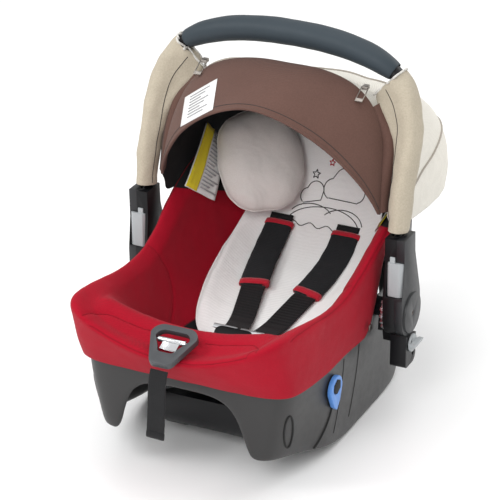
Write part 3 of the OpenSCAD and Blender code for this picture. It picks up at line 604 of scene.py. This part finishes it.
# ---------------------------------------------------------------- hard parts
HARD = {
    "belly_pan": ("black", 0.0015), "latch_bars": ("steel", 0.0004), "adjuster_bezel": ("bezel", 0.0022),
    "adjuster_lever": ("chrome", 0.0007), "adjuster_pin": ("steel", 0.0002), "buckle_body": ("black", 0.0018),
    "buckle_button": ("red_plastic", 0.0010), "buckle_tongues": ("steel", 0.0004),
    "cover_snaps": ("snap", 0.0007),
    "hub_screws": ("snap", 0.0003), "zip_sliders": ("zip", 0.0006),
}
PAIRED = {
    "belt_guide": ("blue", 0.0012), "pivot_housing": ("black", 0.0008), "lock_disc": ("steel", 0.0004),
    "pivot_axle": ("steel", 0.0005), "adaptor_bracket": ("black", 0.0012), "adaptor_lever": ("light", 0.0010),
    "handle_arm": ("black", 0.0020), "hub_cover": ("hub", 0.0024), "release_button": ("light", 0.0012),
    "button_spring": ("steel", 0.0002), "zip_pull": ("zip", 0.0003),
}
for stem, (mat, width) in PAIRED.items():
    for side in SIDES:
        HARD[stem + "_" + side] = (mat, width)
for cad, (mat, width) in HARD.items():
    o = rounded(cad, mat, width)
    if cad.startswith("button_spring"):
        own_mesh(o)

base = smooth_copy("rocker_base", "base_shell", "base", 2)
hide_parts("rocker_base")
base_tree = surface(base)
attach(base, "seat")
shell = smooth_copy("shell", "bowl_shell", "shell", 1)
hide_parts("shell")
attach(shell, "seat")
foam = smooth_copy("foam_liner", "bead_foam_liner", "foam", 1)
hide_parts("foam_liner")
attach(foam, "seat")
bar = smooth_copy("handle_crossbar", "handle_tube", "black", 2)
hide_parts("handle_crossbar")
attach(bar, "handle")
grip = smooth_copy("handle_grip", "soft_grip", "grip", 2)
ripple(grip, 0.0006, 45)
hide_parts("handle_grip")
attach(grip, "handle")

# Details moulded into the base: oval finger recess, belt slit, panel lines; near-black tubes along them paint
# the shade in these recesses and grooves
for side, s in SIDES.items():
    oval = [(0.19 * s, -0.222 - 0.0085 * math.cos(k) - 0.006 * math.sin(k), 0.090 + 0.0275 * math.sin(k))
            for k in (2 * math.pi * i / 48 for i in range(48))]
    line = dropped(base_tree, oval, (-s, 0, 0), 0.0002)
    o = tube("recess_rim_" + side, line, 0.0016, "dark", 8, True)
    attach(o, "seat")
    slit = dropped(base_tree, [(0.19 * s, -0.110 - 0.048 * u ** 1.4, 0.078 - 0.052 * u)
            for u in (i / 24 for i in range(25))], (-s, 0, 0), 0.0001)
    o = tube("belt_slit_" + side, slit, 0.0019, "dark", 8, flat=0.6)
    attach(o, "seat")
    for k, (y0, y1) in enumerate(((-0.018, -0.047), (-0.072, -0.100))):
        seam = dropped(base_tree, [(0.19 * s, y0 + (y1 - y0) * u ** 1.6, 0.134 - 0.104 * u)
                for u in (i / 20 for i in range(21))], (-s, 0, 0), 0.0)
        o = tube("panel_line_%d_%s" % (k, side), seam, 0.0007, "dark", 6)
        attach(o, "seat")

for side, s in SIDES.items():
    lo, hi = (Vector(v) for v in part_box("belt_guide_" + side))
    mid = (lo + hi) / 2
    face_x = (hi.x if s > 0 else lo.x) + 0.0004 * s
    # a near-black patch in the guide's hole paints the shade inside it
    rings = []
    for depth, size in ((-0.004, 0.0125), (0.0, 0.0125), (0.0006, 0.0112)):
        rings.append([Vector((face_x + depth * s, mid.y + size * math.cos(k),
                mid.z + 0.011 + size * 0.9 * math.sin(k)))
                      for k in (2 * math.pi * (i + 0.5) / 6 for i in range(6))])
    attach(loft("guide_hole_painted_shade_" + side, rings, "dark"), "seat")
    stud = [Vector((0.118 * s, -0.215 - 0.004 * u, 0.066)) for u in range(3)]
    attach(tube("foot_stud_" + side, stud, 0.0065, "light", 20), "seat")

# ---------------------------------------------------------------- padded cover
cover = smooth_copy("seat_cover", "padded_cover", "cover", 3)
half_w, foot, head, middle = 0.167, 0.301, 0.290, 0.045


def ease(u):
    u = min(max(u, 0), 1)
    return u * u * (3 - 2 * u)


def outline(a, inset):
    """Plan of the rim at an angle, moved inwards."""
    c, s = math.cos(a), math.sin(a)
    q = 14 if s < 0 else 4
    r = (abs(c) ** q + abs(s) ** q) ** (-1 / q)
    y = middle + s * r * ((foot + middle if s < 0 else head - middle) - inset)
    return ((half_w + 0.006 * ease((y + 0.045) / 0.11) - inset) * c * r, y)


ripple(cover, 0.0012, 14)
ripple(cover, 0.0005, 55, 3.0)
tree = surface(cover)
ridge = dropped(tree, [(*outline(2 * math.pi * i / 360, 0.0035), 0.5) for i in range(360)])
seams = [ridge + ridge[:1]]
for s in (-1, 1):
    arch = smooth_line([(0.128 * s, -0.292, 0), (0.122 * s, -0.271, 0), (0.108 * s, -0.256, 0),
            (0.082 * s, -0.2525, 0), (0.034 * s, -0.250, 0)], 14)
    seams.append(dropped(tree, [(p.x, p.y, 0.5) for p in arch]))
    wall = smooth_line([(0.157 * s, -0.046, 0.240), (0.142 * s, -0.040, 0.216), (0.133 * s, -0.032, 0.191),
            (0.124 * s, -0.037, 0.166),
                        (0.117 * s, -0.049, 0.149), (0.109 * s, -0.072, 0.134)], 14)
    seams.append(on_surface(tree, wall))
lines = [resample(l, 0.0015) for l in seams]
groove(cover, lines, 0.0032, 0.0016)
tree = surface(cover)
for i, l in enumerate(lines):
    l = on_surface(tree, l, -0.0001)
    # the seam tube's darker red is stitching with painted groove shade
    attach(tube("cover_seam_%d" % i, l, 0.0007, "seam", 6), "seat")
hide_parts("seat_cover")
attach(cover, "seat")
cover_tree = tree

# ---------------------------------------------------------------- newborn inserts
pad = smooth_copy("body_pad", "newborn_pad", "cotton", 2)
puffed(pad, 0, 3.0, 0.003, levels=1, shrink=0.0)
ripple(pad, 0.0012, 32, 1.0)
settled(pad, cover_tree, 0.0042, 0.0014)
pad_tree = surface(pad)
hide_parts("body_pad")
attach(pad, "seat")

pillow = cad_copy("head_pillow", "side_pillow", "pillow")
puffed(pillow, 0.005, 5.0, 0.008, levels=1, shrink=0.001)
ripple(pillow, 0.0022, 38, 2.0)
low_p, high_p = (Vector(v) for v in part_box("head_pillow"))
at = (low_p + high_p) / 2 + Vector((-0.004, 0, 0.003))
move_to(pillow, np.array(at) + (coordinates(pillow) - np.array((low_p + high_p) / 2)) * 1.09)
pillow_tree = surface(pillow)
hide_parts("head_pillow")
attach(pillow, "seat")
turn = Matrix.Rotation(math.radians(40), 3, "Z") @ Matrix.Rotation(math.radians(58), 3, "X")
edge = []
for i in range(96):
    a = 2 * math.pi * i / 96
    c, s = math.cos(a), math.sin(a)
    r = (abs(c) ** 2.6 + abs(s) ** 2.6) ** (-1 / 2.6)
    edge.append(at + turn @ Vector((0.070 * c * r, 0.081 * s * r, 0)))
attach(tube("pillow_seam", on_surface(pillow_tree, edge, 0.0004), 0.0011, "pillow", 8, True), "seat")

# An abstract line motif, a cloud over hills with two stars, sewn on the pad
def stitched(name, flat_points, closed=False, mat="thread", radius=0.00075):
    pts = dropped(pad_tree, [(x, 0.05, z) for x, z in flat_points], (0, 1, 0), 0.0003)
    if len(pts) > 3:
        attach(tube(name, pts, radius, mat, 6, closed and len(pts) == len(flat_points)), "seat")


def arc_points(cx, cz, r, a0, a1, n=28, squash=1.0):
    return [(cx + r * math.cos(math.radians(a0 + (a1 - a0) * i / n)),
            cz + r * squash * math.sin(math.radians(a0 + (a1 - a0) * i / n)))
            for i in range(n + 1)]


stitched("motif_cloud", arc_points(0.012, 0.246, 0.014, 250, 100) + arc_points(0.030, 0.259, 0.018, 150, 20)
         + arc_points(0.052, 0.247, 0.013, 80, -70) + [(0.055, 0.2335), (0.008, 0.2335)])
stitched("motif_cloud_back", arc_points(-0.026, 0.232, 0.010, 240, 100)
         + arc_points(-0.014, 0.240, 0.013, 150, 10)
         + [(-0.003, 0.229), (-0.030, 0.2225)])
stitched("motif_hill_2", arc_points(0.012, 0.196, 0.060, 165, 20, squash=0.42))
stitched("motif_path", [(-0.045 + 0.004 * i, 0.197 + 0.0025 * math.sin(i * 0.9)) for i in range(30)])
stitched("motif_hill_0", arc_points(-0.012, 0.206, 0.034, 160, 30, squash=0.5))
stitched("motif_hill_1", arc_points(0.040, 0.202, 0.036, 150, 20, squash=0.55))
for k, (cx, cz, r) in enumerate(((-0.018, 0.262, 0.0065), (0.004, 0.281, 0.005), (0.066, 0.271, 0.0055))):
    star = []
    for i in range(10):
        a, rr = math.pi / 2 + i * math.pi / 5, r if i % 2 == 0 else r * 0.45
        star.append((cx + rr * math.cos(a), cz + rr * math.sin(a)))
    dense = []
    for p, q in zip(star, star[1:] + star[:1]):
        dense += [(p[0] + (q[0] - p[0]) * t / 4, p[1] + (q[1] - p[1]) * t / 4) for t in range(4)]
    stitched("motif_star_%d" % k, dense, True, "binding" if k == 1 else "thread")

# ---------------------------------------------------------------- harness
def strap_x(y):
    return 0.020 + 0.034 * ease((y + 0.074) / 0.230)


for side, s in SIDES.items():
    cad = surface(nodes["shoulder_pad_" + side])
    y0, y1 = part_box("shoulder_pad_" + side)[0][1] + 0.004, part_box("shoulder_pad_" + side)[1][1] - 0.004
    rows = [y0 + (y1 - y0) * i / 40 for i in range(41)]
    tops = dropped(cad, [(s * strap_x(y), y, 0.5) for y in rows])
    line = resample(smooth_line(tops[::4] + [tops[-1]], 12), 0.003)
    along = [(line[min(i + 1, len(line) - 1)] - line[max(i - 1, 0)]).normalized() for i in range(len(line))]
    face = [Vector((1, 0, 0)).cross(t).normalized() for t in along]
    mid = [p - f * 0.0045 for p, f in zip(line, face)]
    body = strap("shoulder_pad_soft_" + side, mid, face, 0.043, 0.0092, "pad", 4, 28, 0.25, 0.006)
    ripple(body, 0.0010, 60, s)
    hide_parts("shoulder_pad_" + side)
    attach(body, "seat")
    for k, part in enumerate((slice(0, 4), slice(len(mid) - 4, len(mid)))):
        o = strap("pad_binding_%d_%s" % (k, side), mid[part], face[part], 0.0452, 0.0104, "binding", 4, 28,
                0.2)
        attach(o, "seat")
    # webbing runs on from both ends of the pad
    strap_cad = surface(nodes["shoulder_strap_" + side])
    for k, (a, b) in enumerate(((y0 - 0.003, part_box("shoulder_strap_" + side)[0][1] + 0.004),
            (y1 - 0.002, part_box("shoulder_strap_" + side)[1][1] - 0.001))):
        rows = [a + (b - a) * i / 24 for i in range(25)]
        pts = dropped(strap_cad, [(s * strap_x(y), y, 0.5) for y in rows])
        if len(pts) < 4:
            continue
        if k == 0:
            pts = [mid[0].lerp(mid[1], 0.5) - face[0] * 0.0005] + pts
        pts = resample(pts, 0.003)
        t = [(pts[min(i + 1, len(pts) - 1)] - pts[max(i - 1, 0)]).normalized() for i in range(len(pts))]
        f = [Vector((1, 0, 0)).cross(v).normalized() * (1 if v.y > 0 else -1) for v in t]
        pts = [p - n * 0.001 for p, n in zip(pts, f)]
        o = strap("webbing_%d_%s" % (k, side), pts, f, 0.036, 0.0019, "webbing", 8, 32)
        if k == 0:
            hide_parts("shoulder_strap_" + side)
        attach(o, "seat")
crotch = smooth_copy("crotch_strap", "crotch_webbing", "webbing", 0)
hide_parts("crotch_strap")
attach(crotch, "seat")

pull = surface(nodes["adjuster_strap"])
lo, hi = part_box("adjuster_strap")
path = dropped(pull, [(0, -0.40, hi[2] - 0.004 - (hi[2] - lo[2] - 0.008) * i / 40) for i in range(41)],
        (0, 1, 0))
path = [p + Vector((0.0006 * math.sin(p.z * 60), 0, 0)) for p in path]
t = [(path[min(i + 1, 40)] - path[max(i - 1, 0)]).normalized() for i in range(len(path))]
f = [v.cross(Vector((1, 0, 0))).normalized() for v in t]
path = [p - n * 0.001 * (1 if n.y < 0 else -1) for p, n in zip(path, f)]
tail = strap("pull_webbing", path, f, 0.026, 0.0020, "webbing", 8, 32)
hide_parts("adjuster_strap")
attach(tail, "seat")
fold = strap("pull_webbing_fold", path[-5:], f[-5:], 0.0264, 0.0052, "webbing", 6, 28, 0, 0.003)
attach(fold, "seat")

# ---------------------------------------------------------------- canopy, visor and sleeves
def fan(angle, half, reach, square, lift, n=60, k0=4, k1=176):
    a = math.radians(angle)
    out = []
    for i in range(n + 1):
        t = math.radians(k0 + (k1 - k0) * i / n)
        c, s = math.cos(t), abs(math.sin(t))
        r = (abs(c) ** square + s ** square) ** (-1 / square)
        v = s * r * reach
        out.append((half * c * r, 0.030 + v * math.cos(a), 0.300 + lift + v * math.sin(a)))
    return out


def two_faced(o, inner_mat):
    """Gives the faces that look into the seat the near-black lining, which also paints the shade inside the
    canopy.
    """
    o.data.materials.append(mats[inner_mat])
    for p in o.data.polygons:
        inside = Vector((0, min(p.center.y, 0.10), 0.25))
        if p.normal.dot(p.center - inside) < 0:
            p.material_index = 1


def ribbon(name, one, other, mat):
    """A strip of cloth between two lines of the same number of points."""
    verts = [p for a, b in zip(one, other) for p in (a, a.lerp(b, 0.5), b)]
    faces = [(i * 3 + j, i * 3 + j + 1, i * 3 + j + 4, i * 3 + j + 3) for i in range(len(one) - 1)
            for j in (0, 1)]
    o = new_object(name, verts, faces, mat)
    m = o.modifiers.new("thick", "SOLIDIFY")
    m.thickness, m.offset = 0.0012, 0
    return applied(o)


canopy = smooth_copy("canopy", "canopy_cloth", "cream", 2)
ripple(canopy, 0.0045, 11, 4.0, (0, 0.08, 0.26))
ripple(canopy, 0.0015, 34, 4.5, (0, 0.08, 0.26))
canopy_tree = surface(canopy)
# the canopy's inner faces get the near-black lining, which paints the shade inside the dome as well
two_faced(canopy, "lining_and_painted_shade")
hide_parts("canopy")
folding = [canopy]
for i, (angle, half, reach, square, lift) in enumerate(((50, 0.179, 0.208, 6, 0),
        (16, 0.179, 0.296, 7, -0.008))):
    l = on_surface(canopy_tree, fan(angle, half + 0.004, reach + 0.004, square, lift, 110), 0.0006)
    folding.append(tube("canopy_piping_%d" % i, l, 0.0017, "piping", 8))

visor = smooth_copy("visor", "visor_cloth", "brown", 3)
ripple(visor, 0.0012, 16, 5.0, (0, 0.03, 0.30))
visor_tree = surface(visor)
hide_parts("visor")
front = on_surface(visor_tree, fan(112.4, 0.171, 0.181, 1.65, 0, 120, 6, 174), 0.0)
join = ribbon("visor_join", on_surface(visor_tree, fan(76, 0.1755, 0.186, 1.9, 0, 90, 40, 140)),
              on_surface(canopy_tree, fan(64, 0.178, 0.195, 2.2, 0, 90, 40, 140)), "cream")
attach(join, "handle")
visor_hem = tube("visor_hem", front, 0.0022, "brown", 10)
two_line = on_surface(visor_tree, [Vector(p) for p in fan(109.5, 0.1755, 0.186, 1.72, 0.001, 120, 8, 172)],
        0.0001)
visor_stitch = tube("visor_stitch", two_line, 0.0005, "thread", 6)
riding = [visor, visor_hem, visor_stitch]


def label(name, corners, mat, lift, n=12, tree=None, sag=0.0):
    """A cloth label between four corners, from the top left one clockwise; with a tree it lies on it."""
    tl, tr, br, bl = (Vector(c) for c in corners)
    face = (tr - tl).cross(bl - tl).normalized()
    if face.dot(back) < 0:
        face = -face
    top, m = [], n + 1
    for j in range(m):
        for i in range(m):
            u, v = i / n, j / n
            wave = noise.noise(Vector((u * 2.3, v * 3.1, lift * 900))) * 0.7
            p = tl.lerp(tr, u).lerp(bl.lerp(br, u), v) + face * sag * (4 * u * (1 - u) + wave)
            if tree is not None:
                hit = tree.ray_cast(p + back * 0.09, -back, 0.16)[0]
                if hit is not None:
                    p = hit
            top.append(p + face * lift)
    under = [p - face * 0.0006 for p in top]
    faces = [(j * m + i, j * m + i + 1, (j + 1) * m + i + 1, (j + 1) * m + i) for j in range(n)
            for i in range(n)]
    faces += [tuple(v + m * m for v in reversed(f)) for f in faces]
    rim = ([i for i in range(n)] + [n + m * j for j in range(n)]
            + [m * m - 1 - i for i in range(n)] + [n * m - m * j for j in range(n)])
    faces += [(rim[(i + 1) % len(rim)], rim[i], rim[i] + m * m, rim[(i + 1) % len(rim)] + m * m)
            for i in range(len(rim))]
    o = new_object(name, top + under, faces, mat)
    bm = bmesh.new()
    bm.from_mesh(o.data)
    bmesh.ops.recalc_face_normals(bm, faces=bm.faces)
    bm.to_mesh(o.data)
    bm.free()
    return o


def part_of(corners, u0, u1, v0, v1):
    """The corners of part of a label, in shares of its width and height."""
    tl, tr, br, bl = (Vector(c) for c in corners)
    return [tl.lerp(tr, u).lerp(bl.lerp(br, u), v) for u, v in ((u0, v0), (u1, v0), (u1, v1), (u0, v1))]


visor_corners = [(-0.133, 0.030, 0.437), (-0.081, 0.028, 0.475), (-0.061, -0.028, 0.452),
        (-0.115, -0.022, 0.415)]
riding.append(label("visor_label", visor_corners, "paper", 0.0010, tree=visor_tree))
for k in range(8):
    v = 0.12 + 0.1 * k
    riding.append(label("visor_print_%d" % k, part_of(visor_corners, 0.2, 0.8 - 0.12 * (k % 3), v,
            v + 0.022), "print", 0.0022, 5, visor_tree))

for o in riding:
    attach(o, "handle")
for o in folding:
    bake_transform(o)

ZIP = [(0.178, 0.034, 0.318), (0.178, 0.037, 0.330), (0.178, 0.046, 0.370), (0.176, 0.063, 0.410),
        (0.167, 0.074, 0.430),
       (0.156, 0.085, 0.443), (0.146, 0.094, 0.458)]
STITCH = [(0.1795, 0.020, 0.300), (0.180, 0.028, 0.345), (0.181, 0.043, 0.385), (0.180, 0.058, 0.420),
        (0.170, 0.066, 0.452), (0.152, 0.076, 0.480)]
for side, s in SIDES.items():
    cad = nodes["arm_sleeve_" + side]
    o = smooth_copy("arm_sleeve_" + side, "sleeve_cloth_" + side, "beige", 3)
    ripple(o, 0.0030, 26, 6.0 + s)
    ripple(o, 0.0012, 60, 8.0 + s)
    sleeve_tree = surface(o)
    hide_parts("arm_sleeve_" + side)
    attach(o, "handle")
    line = on_surface(sleeve_tree, smooth_line([(p[0] * s, p[1], p[2]) for p in STITCH], 14), 0.0001)
    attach(tube("sleeve_stitch_" + side, line, 0.0006, "thread", 6), "handle")
    # binding round the sleeve's upper end: the flat CAD ring furthest along the tube
    points = np.array(list({tuple(round(c, 5) for c in v.co) for v in cad.data.vertices}))
    best, plane = 0, None
    for i in range(-8, 9):
        for j in range(-8, 9):
            d = np.array([-0.707 * s, 0.07 + 0.05 * i, 0.707 + 0.06 * j])
            d /= np.linalg.norm(d)
            along = points @ d
            count = int((along > along.max() - 0.0012).sum())
            if count > best:
                best, plane = count, d
    along = points @ plane
    last = [Vector(p) for p in points[along > along.max() - 0.0012]]
    c = sum(last, Vector()) / len(last)
    far = sorted(last, key=lambda v: -(v - c).length)
    e1 = (far[0] - c).normalized()
    e2 = Vector(plane).cross(e1)
    by_angle = {}
    for v in last:
        a = round(math.degrees(math.atan2((v - c).dot(e2), (v - c).dot(e1))) / 14)
        if a not in by_angle or (v - c).length > (by_angle[a] - c).length:
            by_angle[a] = v
    ring = smooth_line([by_angle[a] for a in sorted(by_angle)], 6, True)
    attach(tube("sleeve_binding_" + side, ring, 0.0016, "pale", 10, True, 1.0), "handle")
    # cloth from the zip to the visor and to the canopy
    for stem, target, mat, reach in (("visor_web_", visor_tree, "brown", (0, -0.012, 0)),
            ("canopy_web_", canopy_tree, "cream", (0, 0.014, 0))):
        zip_line = smooth_line([(x * s, y, z) for x, y, z in ZIP], 8)
        far_edge = on_surface(target, [p + Vector(reach) for p in zip_line], 0.0)
        o = ribbon(stem + side, zip_line, far_edge, mat)
        if stem == "visor_web_":
            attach(o, "handle")
        else:
            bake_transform(o)

# Labels hung on the wall of the bowl: a yellow band beside a pale cloth with plain grey bars
for side, s in SIDES.items():
    # each label is sewn to the canopy's side along the yellow band
    sewn = []
    cloth = [(-0.177 * -s, 0.163, 0.345), (-0.163 * -s, 0.062, 0.285), (-0.138 * -s, 0.109, 0.247),
            (-0.160 * -s, 0.194, 0.304)]
    cloth = [Vector(p) + Vector((-s * 0.010, 0, 0)) for p in cloth]
    o = label("warning_cloth_" + side, cloth, "paper", 0.0010, 12, sag=0.002)
    sewn.append(o)
    sewn.append(label("warning_band_" + side, part_of(cloth, 0.0, 1.0, 0.0, 0.36), "yellow", 0.0030, 12,
            sag=0.002))
    for k in range(16):
        u = 0.04 + 0.058 * k
        sewn.append(label("warning_print_%d_%s" % (k, side),
                part_of(cloth, u, u + 0.018, 0.42, 0.95 - 0.12 * (k % 3)), "print", 0.0030, 5, sag=0.002))
    for o in sewn:
        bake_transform(o)

# ---------------------------------------------------------------- floor
floor = bpy.data.meshes.new("floor")
size = 30
floor.from_pydata([(-size, -size, 0), (size, -size, 0), (size, size, 0), (-size, size, 0)], [],
        [(0, 1, 2, 3)])
ground = bpy.data.objects.new("floor", floor)
scene.collection.objects.link(ground)
m, tree_f, b = shader("floor_paper", 0.35, specular=0.4)
coords = node(tree_f, "TexCoord").outputs["Object"]
feed(b, Base_Color=varied(tree_f, coords, (0.965, 0.965, 0.965), 0.006, 1.5))
floor.materials.append(m)
ground.location.z = -0.0005
